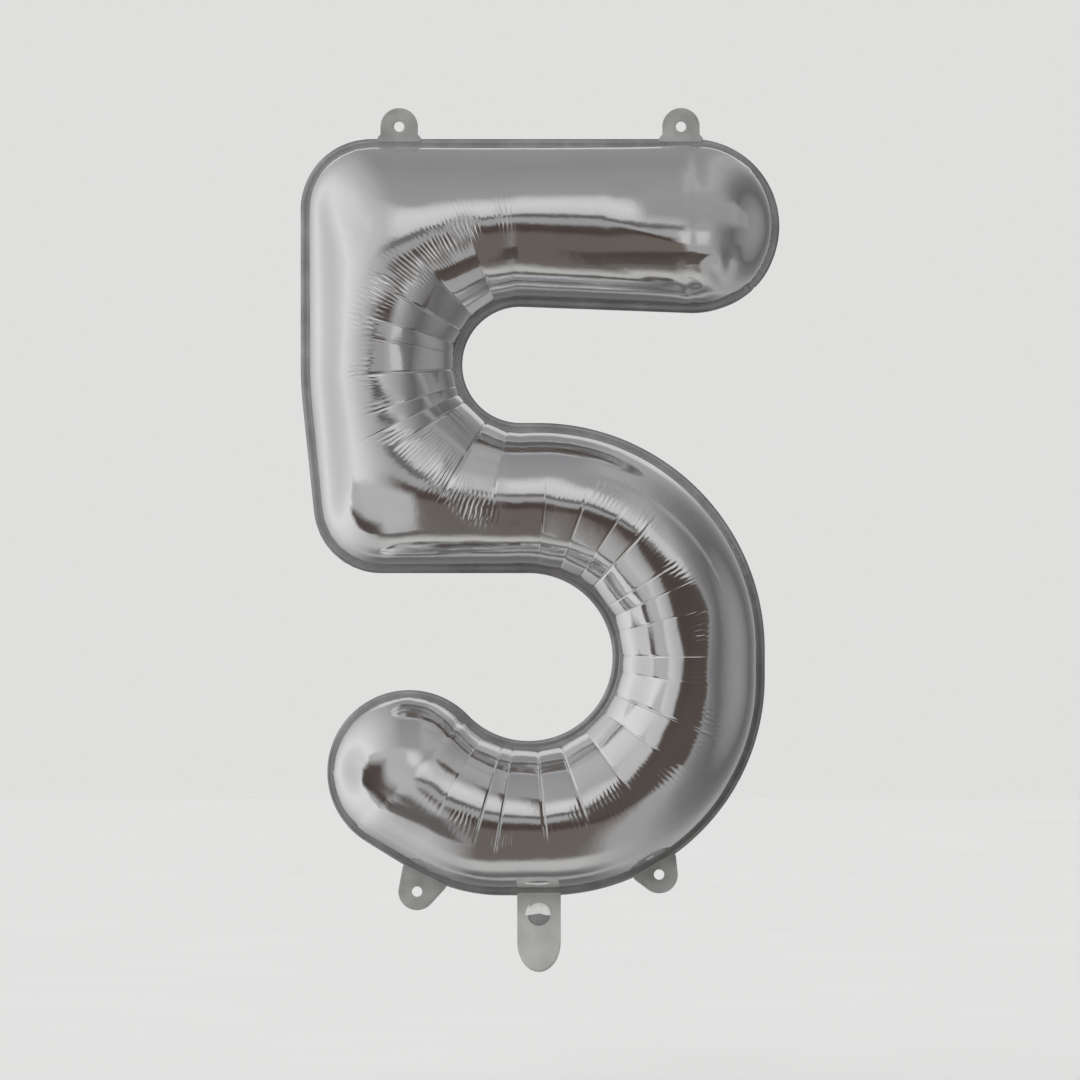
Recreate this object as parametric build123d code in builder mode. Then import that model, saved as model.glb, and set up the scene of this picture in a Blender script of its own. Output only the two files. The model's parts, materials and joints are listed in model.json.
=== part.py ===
"""Foil number balloon: an inflated figure 5 of two film plies sealed edge to edge, with four
hanging tabs and a filling tail that holds a self-sealing film valve.

The row frame has +Z up, +X to the figure's right and its face towards -Y.  The origin is the
middle of the line between the two top hanging holes, where the balloon is held.  The two plies
meet on the plane Y = 0.  Outlines are drawn as (x, z) on the XZ plane.
"""

import os
from math import acos, atan2, cos, degrees, hypot, radians, sin

from build123d import *

# Overall size of the inflated figure, to the outside of its sealed border
BODY_WIDTH = 462.0
BAR_HEIGHT = 162.0  # top bar
BAY_GAP = 112.0  # bay between the top bar and the middle stroke
MIDDLE_HEIGHT = 145.0  # middle stroke
COUNTER_GAP = 162.0  # bay inside the bowl
FOOT_HEIGHT = 149.0  # bottom of the bowl
LEFT_STROKE = 156.0
BODY_HEIGHT = BAR_HEIGHT + BAY_GAP + MIDDLE_HEIGHT + COUNTER_GAP + FOOT_HEIGHT

# Rounds of the outline
BAR_END_R = 84.0
BOWL_HIGH_R = 219.0
BOWL_LOW_R = 210.0
BOWL_LEFT_OF_EDGE = 14.0  # the bowl stops this far short of the bar's end
FOOT_R = 168.0
FOOT_X = -36.0
COUNTER_X = -11.0
FREE_END_R = 79.0
FREE_END_ANGLE = 223.9  # where the bowl's free end lies, seen from the counter's centre
TOP_CORNER_R = 68.0
LOW_CORNER_R = 65.0
LOW_CORNER_LEAN = 19.0  # the left side leans in this much from knee to low corner
KNEE_DROP = 237.0  # the knee of the left side, below the top edge
KNEE_R = 400.0

# Film.  The plies are far thicker here than the real laminate, so that they mesh as solids
FILM = 0.5
VALVE_FILM = 0.2
VALVE_CLEARANCE = 0.02  # from each valve film to the plane of the seal
SEAL_OUTSIDE = 7.0  # flat sealed border outside the inflated part
SEAL_INSIDE = 2.0  # the seal's lap inside it
ROUND_DEPTH = 70.0  # up to this half-width a stroke blows up round
WIDE_RISE = 0.15  # how much of any further half-width goes into depth

# Hanging tabs
LOBE_R = 18.0
TAB_ROOT_WIDTH = 46.0
TAB_ROOT_LENGTH = 1.0
HOLE_R = 5.0
TOP_HOLE_SPACING = 272.0
TOP_HOLE_REACH = 12.0  # from the border's edge to the hole's centre
LOW_LEFT_HOLE_REACH = 16.0
LOW_RIGHT_HOLE_REACH = 8.5
LOW_LEFT_TAB_ANGLE = 243.3  # seen from the centre of the foot's round
LOW_RIGHT_TAB_ANGLE = 299.6  # seen from the centre of the bowl's lower round
HINGE_GAP = 1.0  # from each edge to the line that a tab or the tail bends about

# Filling tail and its valve
TAIL_X = -1.0
TAIL_WIDTH = 42.0
TAIL_LENGTH = 74.0
TAIL_CORNER_R = 18.0
INLET_R = 11.0
INLET_REACH = 18.0  # from the border's edge to the inlet's centre
VALVE_WIDTH = 30.0
VALVE_END_REACH = 62.0  # how far down the tail the valve's films run
LIP_LENGTH = 78.0

# Sections along the figure
BAR_RIBS = 4
SIDE_RIBS = 16
BOWL_RIBS = 16
END_TURNS = (25, 45, 60, 72, 80, 85)  # degrees round each free end


def point_at(centre, angle, distance):
    """The point at a distance from centre, in the direction of angle in degrees."""
    turn = radians(angle)
    return (centre[0] + distance * cos(turn), centre[1] + distance * sin(turn))


def tangent_angle(a, b, reach):
    """The angle of the unit normal n with n . (a - b) = reach, the further round of the two."""
    dx, dz = a[0] - b[0], a[1] - b[1]
    return degrees(atan2(dz, dx) + acos(reach / hypot(dx, dz))) % 360


# Places on the outline
TOP = -TOP_HOLE_REACH
LEFT = -BODY_WIDTH / 2
RIGHT = BODY_WIDTH / 2
BOTTOM = TOP - BODY_HEIGHT
BAY_R = BAY_GAP / 2
COUNTER_R = COUNTER_GAP / 2
BAY_TOP = TOP - BAR_HEIGHT
MIDDLE_TOP = BAY_TOP - BAY_GAP
MIDDLE_BOTTOM = MIDDLE_TOP - MIDDLE_HEIGHT
BOWL_RIGHT = RIGHT - BOWL_LEFT_OF_EDGE

bar_end = (RIGHT - BAR_END_R, TOP - BAR_END_R)
bay = (LEFT + LEFT_STROKE + BAY_R, BAY_TOP - BAY_R)
bowl_high = (BOWL_RIGHT - BOWL_HIGH_R, MIDDLE_TOP - BOWL_HIGH_R)
bowl_low = (BOWL_RIGHT - BOWL_LOW_R, BOTTOM + BOWL_LOW_R)
foot = (FOOT_X, BOTTOM + FOOT_R)
counter = (COUNTER_X, MIDDLE_BOTTOM - COUNTER_R)
free_end = point_at(counter, FREE_END_ANGLE, COUNTER_R + FREE_END_R)

bar_slope = tangent_angle(bar_end, bay, BAR_END_R + BAY_R)
foot_slope = tangent_angle(free_end, foot, FOOT_R - FREE_END_R)
bar_start = point_at(bar_end, bar_slope, -BAR_END_R)
bar_finish = point_at(bay, bar_slope, BAY_R)
foot_start = point_at(foot, foot_slope, FOOT_R)
foot_finish = point_at(free_end, foot_slope, FREE_END_R)
top_corner = (LEFT, TOP)
knee = (LEFT, TOP - KNEE_DROP)
low_corner = (LEFT + LOW_CORNER_LEAN, MIDDLE_BOTTOM)

with BuildSketch() as outline:
    with BuildLine():
        Line(top_corner, (bar_end[0], TOP))
        CenterArc(bar_end, BAR_END_R, 90, bar_slope - 270)
        Line(bar_start, bar_finish)
        CenterArc(bay, BAY_R, bar_slope, 270 - bar_slope)
        Line((bay[0], MIDDLE_TOP), (bowl_high[0], MIDDLE_TOP))
        CenterArc(bowl_high, BOWL_HIGH_R, 90, -90)
        Line((BOWL_RIGHT, bowl_high[1]), (BOWL_RIGHT, bowl_low[1]))
        CenterArc(bowl_low, BOWL_LOW_R, 0, -90)
        Line((bowl_low[0], BOTTOM), (foot[0], BOTTOM))
        CenterArc(foot, FOOT_R, 270, foot_slope - 270)
        Line(foot_start, foot_finish)
        CenterArc(free_end, FREE_END_R, foot_slope, FREE_END_ANGLE - 180 - foot_slope)
        CenterArc(counter, COUNTER_R, FREE_END_ANGLE, 450 - FREE_END_ANGLE)
        Polyline((counter[0], MIDDLE_BOTTOM), low_corner, knee, top_corner)
    make_face()
    for place, radius in ((top_corner, TOP_CORNER_R), (low_corner, LOW_CORNER_R), (knee, KNEE_R)):
        fillet(outline.vertices().sort_by_distance(place)[0], radius)

with BuildSketch() as weld_line:
    add(outline.sketch)
    offset(amount=-SEAL_OUTSIDE, mode=Mode.REPLACE)

with BuildSketch() as border:
    add(outline.sketch)
    offset(amount=-(SEAL_OUTSIDE + SEAL_INSIDE), mode=Mode.SUBTRACT)


def rib(start, angle, travel_turn, flip=False):
    """A section's plane and half-width, across the stroke that a ray from start runs through.

    The plane's x runs across the stroke and its normal along it, travel_turn degrees from the ray.
    """
    ray = Edge.make_line(start, point_at(start, angle, BODY_HEIGHT))
    inside = ray.intersect(weld_line.face()).edges().sort_by_distance(start)[0]
    middle = inside @ 0.5
    across = point_at((0, 0), angle, -1 if flip else 1)
    along = point_at((0, 0), angle + travel_turn, 1)
    plane = Plane((middle.X, 0, middle.Y), x_dir=(across[0], 0, across[1]), z_dir=(along[0], 0, along[1]))
    return plane, inside.length / 2


def ribs_along_the_figure():
    """Sections from the bar's end, round the left side and the bowl, to the free end."""
    found = []
    for i in range(BAR_RIBS):
        x = bar_end[0] + (bay[0] - bar_end[0]) * i / BAR_RIBS
        found.append(rib((x, bay[1]), 90, 90))
    for i in range(SIDE_RIBS + 1):
        found.append(rib(bay, 90 + 180 * i / SIDE_RIBS, 90))
    for i in range(1, BOWL_RIBS + 1):
        found.append(rib(counter, 90 - (450 - FREE_END_ANGLE) * i / BOWL_RIBS, -90, flip=True))
    return found


def depth_of(half_width):
    """How far a stroke of that half-width blows up, to each side of the plane of the seal."""
    return min(half_width, ROUND_DEPTH + WIDE_RISE * (half_width - ROUND_DEPTH))


def with_round_ends(ribs, inset):
    """The sections, and more of them that shrink along a round at each end of the figure."""
    starting = []
    finishing = []
    for turn in END_TURNS:
        for (plane, half_width), side, found in ((ribs[0], -1, starting), (ribs[-1], 1, finishing)):
            reach = side * (half_width - inset) * sin(radians(turn))
            found.append((plane.offset(reach), half_width, cos(radians(turn))))
    return starting[::-1] + [(plane, half_width, 1) for plane, half_width in ribs] + finishing


def inflated(ribs, inset):
    """The space in front of the plane of the seal as a solid, smaller by inset all round."""
    with BuildPart() as form:
        for plane, half_width, shrink in with_round_ends(ribs, inset):
            across = (half_width - inset) * shrink
            depth = (depth_of(half_width) - inset) * shrink
            with BuildSketch(plane):
                with BuildLine():
                    EllipticalCenterArc((0, 0), across, depth, 180, arc_size=180)
                    Line((across, 0), (-across, 0))
                make_face()
        loft()
    return form.part


def save(part, name):
    """Label a finished piece and write it out."""
    part.label = name
    export_step(part, f"parts/{name}.step")


os.makedirs("parts", exist_ok=True)
ribs = ribs_along_the_figure()
valve_pocket = VALVE_FILM + VALVE_CLEARANCE
pocket_width = VALVE_WIDTH + 2 * VALVE_CLEARANCE
lap_top = BOTTOM + SEAL_OUTSIDE + SEAL_INSIDE

# The two big plies: a blown-up half each, with its flat sealed border
with BuildPart() as front_foil:
    add(inflated(ribs, 0))
    # The blown-up wall ends half-way into the border's thickness
    split(bisect_by=Plane.XZ.offset(FILM / 2), keep=Keep.TOP)
    add(inflated(ribs, FILM), mode=Mode.SUBTRACT)
    with BuildSketch(Plane.XZ):
        add(border.sketch)
    extrude(amount=FILM)
    with BuildSketch(Plane.XZ):
        with Locations((TAIL_X, (BOTTOM + lap_top) / 2)):
            Rectangle(pocket_width, 2 * (lap_top - BOTTOM))
    extrude(amount=valve_pocket, mode=Mode.SUBTRACT)
save(front_foil.part, "front_foil")

with BuildPart() as back_foil:
    mirror(front_foil.part, about=Plane.XZ)
save(back_foil.part, "back_foil")

# Hanging tabs: for each, the point of the border that it stands on, its direction and its reach
tabs = {
    "top_left_tab": ((-TOP_HOLE_SPACING / 2, TOP), 90, TOP_HOLE_REACH),
    "top_right_tab": ((TOP_HOLE_SPACING / 2, TOP), 90, TOP_HOLE_REACH),
    "low_left_tab": (
        point_at(foot, LOW_LEFT_TAB_ANGLE, FOOT_R),
        LOW_LEFT_TAB_ANGLE,
        LOW_LEFT_HOLE_REACH,
    ),
    "low_right_tab": (
        point_at(bowl_low, LOW_RIGHT_TAB_ANGLE, BOWL_LOW_R),
        LOW_RIGHT_TAB_ANGLE,
        LOW_RIGHT_HOLE_REACH,
    ),
}
for name, (root, angle, hole_reach) in tabs.items():
    # On the tab's plane x runs along the border and y away from it
    edge_x, edge_z = point_at((0, 0), angle - 90, 1)
    tab_plane = Plane((root[0], 0, root[1]), x_dir=(edge_x, 0, edge_z), z_dir=(0, -1, 0))
    with BuildPart() as tab_front:
        with BuildSketch(tab_plane):
            with Locations((0, hole_reach)):
                Circle(LOBE_R)
            with Locations((0, 2 * HINGE_GAP + TAB_ROOT_LENGTH / 2)):
                Rectangle(TAB_ROOT_WIDTH, TAB_ROOT_LENGTH)
            make_hull()
            # Nothing of the lobe below the tab's root
            with Locations((0, 2 * HINGE_GAP)):
                Rectangle(
                    TAB_ROOT_WIDTH, LOBE_R, align=(Align.CENTER, Align.MAX), mode=Mode.SUBTRACT
                )
            with Locations((0, hole_reach)):
                Circle(HOLE_R, mode=Mode.SUBTRACT)
        extrude(amount=FILM)
    save(tab_front.part, f"{name}_front_ply")
    with BuildPart() as tab_back:
        mirror(tab_front.part, about=Plane.XZ)
    save(tab_back.part, f"{name}_back_ply")

# Filling tail: two plies, each with a pocket inside for the valve's film, and an inlet in front
tail_top = BOTTOM - 2 * HINGE_GAP
tail_end = BOTTOM - TAIL_LENGTH
valve_end = BOTTOM - VALVE_END_REACH
inlet = (TAIL_X, BOTTOM - INLET_REACH)

with BuildPart() as tail_back_ply:
    with BuildSketch(Plane.XZ) as tail_outline:
        with Locations((TAIL_X, tail_end)):
            Rectangle(TAIL_WIDTH, tail_top - tail_end, align=(Align.CENTER, Align.MIN))
        fillet(tail_outline.vertices().group_by(Axis.Y)[0], TAIL_CORNER_R)
    extrude(amount=-FILM)
    with BuildSketch(Plane.XZ):
        with Locations((TAIL_X, valve_end)):
            Rectangle(pocket_width, tail_top - valve_end, align=(Align.CENTER, Align.MIN))
    extrude(amount=-valve_pocket, mode=Mode.SUBTRACT)
save(tail_back_ply.part, "tail_back_ply")

with BuildPart() as tail_front_ply:
    mirror(tail_back_ply.part, about=Plane.XZ)
    with BuildSketch(Plane.XZ):
        with Locations(inlet):
            Circle(INLET_R)
    extrude(amount=FILM, mode=Mode.SUBTRACT)
save(tail_front_ply.part, "tail_front_ply")

# The valve: two films, each in three lengths that bend where the tail and the lips do
lip_root = lap_top + 2 * HINGE_GAP
valve_lengths = {
    "film_in_tail": (valve_end, tail_top),
    "film_in_seam": (BOTTOM, lap_top),
    "lip": (lip_root, lip_root + LIP_LENGTH),
}
for name, (low, high) in valve_lengths.items():
    with BuildPart() as valve_back:
        with BuildSketch(Plane.XZ.offset(-VALVE_CLEARANCE)):
            with Locations((TAIL_X, low)):
                Rectangle(VALVE_WIDTH, high - low, align=(Align.CENTER, Align.MIN))
        extrude(amount=-VALVE_FILM)
    save(valve_back.part, f"valve_back_{name}")
    with BuildPart() as valve_front:
        mirror(valve_back.part, about=Plane.XZ)
        if name == "film_in_tail":
            with BuildSketch(Plane.XZ):
                with Locations(inlet):
                    Circle(INLET_R)
            extrude(amount=FILM, mode=Mode.SUBTRACT)
    save(valve_front.part, f"valve_front_{name}")
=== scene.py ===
"""Looks for the foil number balloon: an inflated figure 5 in silver film, with its hanging tabs,
filling tail and film valve.

The two big plies are blown up here by a small film solver.  The film is cut flat, wider than the
figure and less curled, and pressure then rounds it, shortens it across and gathers it into pleats
on the inside of each bend.  Everything is in metres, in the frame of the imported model: +Z up, the
figure's face towards -Y, and the plies sealed together on the plane Y = 0.
"""

import json
from math import acos, atan2, cos, hypot, pi, radians, sin

import bpy
import numpy as np
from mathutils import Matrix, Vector


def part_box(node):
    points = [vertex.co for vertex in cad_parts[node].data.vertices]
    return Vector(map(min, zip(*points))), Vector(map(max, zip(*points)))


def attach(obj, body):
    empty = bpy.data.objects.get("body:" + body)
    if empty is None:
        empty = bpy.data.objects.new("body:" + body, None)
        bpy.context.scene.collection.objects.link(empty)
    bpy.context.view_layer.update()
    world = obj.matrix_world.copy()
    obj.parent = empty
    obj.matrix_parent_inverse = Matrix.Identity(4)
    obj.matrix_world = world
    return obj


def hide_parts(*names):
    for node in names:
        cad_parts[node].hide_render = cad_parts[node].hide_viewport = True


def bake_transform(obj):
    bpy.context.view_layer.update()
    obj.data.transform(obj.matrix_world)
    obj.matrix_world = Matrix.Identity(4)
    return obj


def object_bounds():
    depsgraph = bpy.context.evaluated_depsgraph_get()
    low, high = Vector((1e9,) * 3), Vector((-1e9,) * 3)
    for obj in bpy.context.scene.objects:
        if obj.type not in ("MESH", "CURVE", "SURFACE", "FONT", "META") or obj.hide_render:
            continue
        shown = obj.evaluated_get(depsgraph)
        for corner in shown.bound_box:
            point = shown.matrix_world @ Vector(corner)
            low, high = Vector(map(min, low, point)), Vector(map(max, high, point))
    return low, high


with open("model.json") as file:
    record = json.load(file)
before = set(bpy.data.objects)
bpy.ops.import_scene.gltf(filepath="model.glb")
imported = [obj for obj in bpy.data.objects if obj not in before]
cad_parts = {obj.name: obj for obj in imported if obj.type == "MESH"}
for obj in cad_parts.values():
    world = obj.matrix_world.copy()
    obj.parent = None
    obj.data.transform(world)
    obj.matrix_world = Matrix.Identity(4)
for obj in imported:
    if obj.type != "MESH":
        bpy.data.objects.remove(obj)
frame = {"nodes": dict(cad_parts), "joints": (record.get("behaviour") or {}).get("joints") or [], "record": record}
cad_box = [list(corner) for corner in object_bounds()]

# -------------------- sizes, from the frame
foil_low, foil_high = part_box("front_foil")
LEFT, RIGHT = foil_low.x, foil_high.x
BOTTOM, TOP = foil_low.z, foil_high.z

SEAL = 0.007  # flat sealed border outside the inflated part
BAR_END_R = 0.084
BAY_R = 0.056
COUNTER_R = 0.081
FREE_END_R = 0.079
BAR_END = (RIGHT - BAR_END_R, TOP - BAR_END_R)
BAY = (LEFT + 0.212, TOP - 0.218)
COUNTER = (-0.011, BOTTOM + 0.230)
FREE_END_TURN = radians(223.9)  # where the free end lies, seen from the counter's centre
FREE_END = (
    COUNTER[0] + (COUNTER_R + FREE_END_R) * cos(FREE_END_TURN),
    COUNTER[1] + (COUNTER_R + FREE_END_R) * sin(FREE_END_TURN),
)
# The outline as rounds joined by tangent lines, clockwise from the top left corner:
# (x, z, radius), where a negative radius curves inward
ROUNDS = [
    (LEFT + 0.068, TOP - 0.068, 0.068),
    (*BAR_END, BAR_END_R),
    (*BAY, -BAY_R),
    (RIGHT - 0.233, BOTTOM + 0.237, 0.219),
    (RIGHT - 0.224, BOTTOM + 0.210, 0.210),
    (-0.036, BOTTOM + 0.168, 0.168),
    (*FREE_END, FREE_END_R),
    (*COUNTER, -COUNTER_R),
    (LEFT + 0.0776, BOTTOM + 0.376, 0.065),
    (LEFT + 0.400, TOP - 0.2162, 0.400),
]

# -------------------- the film's cut
# Columns of the film along each stretch of the stroke, and rows across it
END_COLUMNS = 24
BAR_COLUMNS = 48
BAY_COLUMNS = 144
LINK_COLUMNS = 4
COUNTER_COLUMNS = 192
ROWS = 84
CURL = 0.724  # how much of each bend is in the flat cut: pressure adds the rest
PUFF = pi / 2 - 1  # a flat tube loses this much of its round width when it fills
ROUND_WIDTH = 0.142  # a wider stroke stays this round at its edges only
END_TRIM = 0.17  # the flat cut narrows by this much at the two ends
END_TRIM_REACH = 0.09
ROUND_DEPTH = 0.070  # up to this half-width a stroke blows up round
WIDE_RISE = 0.15  # how much of any further half-width goes into depth
SMOOTH_FROM = 0.66  # past this share of the way across, a bend's film has no spare length
SMOOTH_REACH = 0.22
BEND_EVEN = 0.85  # inside a bend the film keeps this much less than its whole spare length
END_EVEN = 0.8
BAY_EVEN_ENDS = (0.12, 0.28)  # the shares of each bend at its ends that have no spare length
COUNTER_EVEN_ENDS = (0.10, 0.15)
NO_END = 1000  # stands for a bend's radius where the stroke doesn't end behind it
COUNTER_MIDDLE_R = 0.16
PAST_FOOT = 0.02  # a line upward meets the stroke's lower edge beyond this
PAST_EDGE = 0.01  # and its upper edge this much farther on
PAST_BAY = 1.2  # a ray from a bay's centre meets the far edge beyond this many radii
ON_CORNER = 1e-9  # so that a ray through a corner isn't missed


def shared_normal(a, b):
    """The angle of the outward normal of the line that touches rounds a and b."""
    dx, dz = b[0] - a[0], b[1] - a[1]
    reach = (a[2] - b[2]) / hypot(dx, dz)
    return atan2(dz, dx) + acos(max(-1, min(1, reach)))


def outline(grow, step):
    """Points round the figure, grown by that much, about a step apart on its rounds."""
    rounds = [(x, z, r + grow) for x, z, r in ROUNDS]
    turns = [shared_normal(a, b) for a, b in zip(rounds, rounds[1:] + rounds[:1])]
    stretches = []
    for (x, z, r), start, end in zip(rounds, turns[-1:] + turns[:-1], turns):
        turn = (end - start) % (2 * pi)
        if r > 0:
            turn -= 2 * pi
        if abs(turn) > 2 * pi - 0.001:
            turn = 0
        angles = start + np.linspace(0, turn, max(2, int(abs(turn * r) / step) + 1))
        stretches.append(np.stack([x + r * np.cos(angles), z + r * np.sin(angles)], axis=1))
    return np.vstack(stretches)


def crossing(start, way, polygon, beyond):
    """The distance from start, along way, to the first side of the polygon past beyond."""
    side = np.roll(polygon, -1, axis=0) - polygon
    gap = polygon - start
    slant = way[0] * side[:, 1] - way[1] * side[:, 0]
    slant = np.where(np.abs(slant) < 1e-12, 1e-12, slant)
    reach = (gap[:, 0] * side[:, 1] - gap[:, 1] * side[:, 0]) / slant
    share = (gap[:, 0] * way[1] - gap[:, 1] * way[0]) / slant
    met = (share > -ON_CORNER) & (share < 1 + ON_CORNER)
    return reach[met & (reach > beyond)].min()


def smooth(t):
    """An even ramp from 0 to 1 as t goes from 0 to 1."""
    t = np.clip(t, 0, 1)
    return t * t * (3 - 2 * t)


def unit(angle):
    return np.array([cos(angle), sin(angle)])


class Cut:
    """Walks along the stroke and notes, at each column, both edges of the blown-up figure and
    both edges of the flat film that it is blown up from."""

    def __init__(self):
        self.seam = outline(-SEAL, 0.002)
        self.figure_edges = []
        self.flat_edges = []
        self.heading = pi

    def flat_width(self, width, to_end=1.0):
        trim = END_TRIM * smooth(1 - to_end / END_TRIM_REACH)
        return (width + PUFF * min(width, ROUND_WIDTH)) * (1 - trim)

    def add(self, left, right, flat_left, flat_right):
        self.figure_edges.append((left, right))
        self.flat_edges.append((flat_left, flat_right))

    def to_right(self):
        return unit(self.heading - pi / 2)

    def upright(self, x, foot):
        """The lower and the upper edge of the stroke above a point."""
        start = np.array([x, foot])
        low = crossing(start, unit(pi / 2), self.seam, PAST_FOOT)
        high = crossing(start, unit(pi / 2), self.seam, low + PAST_EDGE)
        return start + (0, low), start + (0, high)

    def bar(self):
        for x in np.linspace(BAR_END[0], BAY[0], BAR_COLUMNS + 1):
            low, high = self.upright(x, BAY[1])
            half = self.to_right() * self.flat_width(high[1] - low[1], BAR_END[0] - x) / 2
            middle = (low + high) / 2
            self.add(low, high, middle - half, middle + half)

    def bend(self, centre, radius, turn, columns, side, middle_r):
        """Round a bay: side is 1 where the bay is to the left of the stroke.  The stroke's end
        is the turn that is left, at middle_r."""
        centre = np.array(centre)
        inner = self.flat_edges[-1][0 if side == 1 else 1]
        step = turn / columns
        for i in range(1, columns + 1):
            inner = inner + radius * step * unit(self.heading + side * CURL * step / 2)
            self.heading += side * CURL * step
            ray = unit(pi / 2 + side * i * step)
            reach = crossing(centre, ray, self.seam, PAST_BAY * radius)
            to_end = (turn - i * step) * middle_r
            outer = inner + side * self.to_right() * self.flat_width(reach - radius, to_end)
            near, far = centre + radius * ray, centre + reach * ray
            if side == 1:
                self.add(near, far, inner, outer)
            else:
                self.add(far, near, outer, inner)

    def link(self):
        """The short level stretch between the two bends, whose bays are on opposite sides."""
        inner = self.flat_edges[-1][1]
        step = (COUNTER[0] - BAY[0]) / LINK_COLUMNS
        for i in range(1, LINK_COLUMNS + 1):
            low, high = self.upright(BAY[0] + i * step, COUNTER[1])
            inner = inner + step * unit(self.heading)
            width = self.flat_width(high[1] - low[1])
            self.add(high, low, inner - self.to_right() * width, inner)

    def places(self):
        """Where each node lies in its column's own units: x across the stroke from -1 to 1, y past
        the stroke's end, and the column's station.  A half disc closes each end."""
        stations = len(self.figure_edges)
        a, b = np.meshgrid(
            np.linspace(0, 1, END_COLUMNS + 1)[1:], np.linspace(-1, 1, ROWS + 1), indexing="ij"
        )
        # Squares round the middle become circles round it
        radius = np.maximum(a, np.abs(b))
        angle = np.where(
            np.abs(b) >= a,
            np.where(b < 0, pi, 0) + pi / 4 * a / np.where(b == 0, 1, b),
            pi / 2 - pi / 4 * b / radius,
        )
        end_x, end_y = radius * np.cos(angle), radius * np.sin(angle)
        body = np.tile(np.linspace(-1, 1, ROWS + 1), (stations, 1))
        x = np.concatenate([end_x[::-1], body, end_x])
        y = np.concatenate([-end_y[::-1], 0 * body, end_y])
        station = np.clip(np.arange(len(x)) - END_COLUMNS, 0, stations - 1)
        return x, y, station

    def grid(self, edges, rounded=False):
        """Every node's (x, y, z), flat or as a rounded tube in front of the seal's plane."""
        x, y, station = self.places()
        left, right = (np.array([e[k] for e in edges])[station] for k in (0, 1))
        middle, half = (left + right) / 2, (right - left) / 2
        ahead = np.stack([-half[:, 1], half[:, 0]], axis=1)
        depth = np.zeros_like(x)
        if rounded:
            radius = np.maximum(np.hypot(x, y), 1e-9)
            stretch = np.sin(radius * pi / 2) / radius
            half_width = size(half.T)
            deepest = np.minimum(half_width, ROUND_DEPTH + WIDE_RISE * (half_width - ROUND_DEPTH))
            depth = -deepest[:, None] * np.cos(radius * pi / 2)
            x, y = x * stretch, y * stretch
        flat = middle[:, None] + x[..., None] * half[:, None] + y[..., None] * ahead[:, None]
        return np.stack([flat[..., 0], depth, flat[..., 1]])

    def evenness(self):
        """How far each node's film is cut to its rounded shape, without the spare length that a
        flat cut has: 1 at the joins of the bends and on their outer side."""
        x, _, station = self.places()
        side = (x + 1) / 2
        even = []
        for start, columns, inner, fade_in, fade_out, last in self.bends:
            t = (station - start) / columns
            ends = np.maximum(1 - smooth(t / fade_in), last * smooth((t - 1 + fade_out) / fade_out))
            from_inner = side if inner == 0 else 1 - side
            outer = smooth((from_inner - SMOOTH_FROM) / SMOOTH_REACH)
            even.append(1 - (1 - BEND_EVEN) * (1 - np.clip(ends, 0, 1))[:, None] * (1 - outer))
        even = np.where((station < self.bends[1][0])[:, None], *even)
        even[(station == 0) | (station == station.max())] = END_EVEN
        return even

    def grids(self):
        """The seam's outline, the flat film and the rounded figure as grids, and the evenness."""
        self.bar()
        bay_start = len(self.figure_edges) - 1
        self.bend(BAY, BAY_R + SEAL, pi, BAY_COLUMNS, 1, NO_END)
        self.link()
        counter_start = len(self.figure_edges) - 1
        counter_turn = pi / 2 + 2 * pi - FREE_END_TURN
        counter_r = COUNTER_R + SEAL
        self.bend(COUNTER, counter_r, counter_turn, COUNTER_COLUMNS, -1, COUNTER_MIDDLE_R)
        self.bends = (
            (bay_start, BAY_COLUMNS, 0, *BAY_EVEN_ENDS, 1),
            (counter_start, COUNTER_COLUMNS, 1, *COUNTER_EVEN_ENDS, END_EVEN),
        )
        figure, flat = self.grid(self.figure_edges), self.grid(self.flat_edges)
        return figure[::2], flat[::2], self.grid(self.figure_edges, rounded=True), self.evenness()


# -------------------- the film solver
ALL = slice(None)
FROM, TO = slice(None, -1), slice(1, None)
FROM_TWO, TO_TWO = slice(None, -2), slice(2, None)
# Each family of springs joins the film's nodes in one slice to those in another
SPRINGS = {
    "along": ((FROM, ALL), (TO, ALL)),
    "across": ((ALL, FROM), (ALL, TO)),
    "falling": ((FROM, FROM), (TO, TO)),
    "rising": ((FROM, TO), (TO, FROM)),
    "bend_along": ((FROM_TWO, ALL), (TO_TWO, ALL)),
    "bend_across": ((ALL, FROM_TWO), (ALL, TO_TWO)),
}
STRETCH = 0.008  # of the film, at its pressure
TUBE_R = 0.072
SLANT_SHARE = 0.75  # stiffness of the slanting springs, as a share of the others'
BEND_SHARE = 0.012  # and against bending
SEAM_BEND = 0.3
HOLD = 0.3  # how firmly the seam is held to the figure's outline
SLIP = 0.02  # and how firmly along it
LEVEL = 0.01  # and towards the plane Y = 0
PACE = 1.1
DAMPING = 0.03
LEVELS = ((4, 600), (2, 400), (1, 400))  # (every so many columns and rows, steps)
SEED = 5
UNEVEN = 0.0006  # a small start that lets the plies gather differently


def size(vectors):
    return np.sqrt((vectors * vectors).sum(axis=0))


def rim(grid):
    """The values once round the edge of a grid."""
    sides = (grid[..., :, 0], grid[..., -1, 1:], grid[..., -2::-1, -1], grid[..., 0, -2:0:-1])
    return np.concatenate(sides, axis=-1)


def set_rim(grid, values):
    columns, rows = grid.shape[-2:]
    a, b = columns, columns + rows - 1
    c = b + columns - 1
    grid[..., :, 0] = values[..., :a]
    grid[..., -1, 1:] = values[..., a:b]
    grid[..., -2::-1, -1] = values[..., b:c]
    grid[..., 0, -2:0:-1] = values[..., c:]


def way_round(seam):
    """The direction along the seam at each of its points."""
    along = np.roll(seam, -1, axis=1) - np.roll(seam, 1, axis=1)
    return along / size(along)


def two_apart(edge):
    """The way from each point of an edge to the next but one."""
    return np.roll(edge, -2, axis=1) - edge


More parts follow.
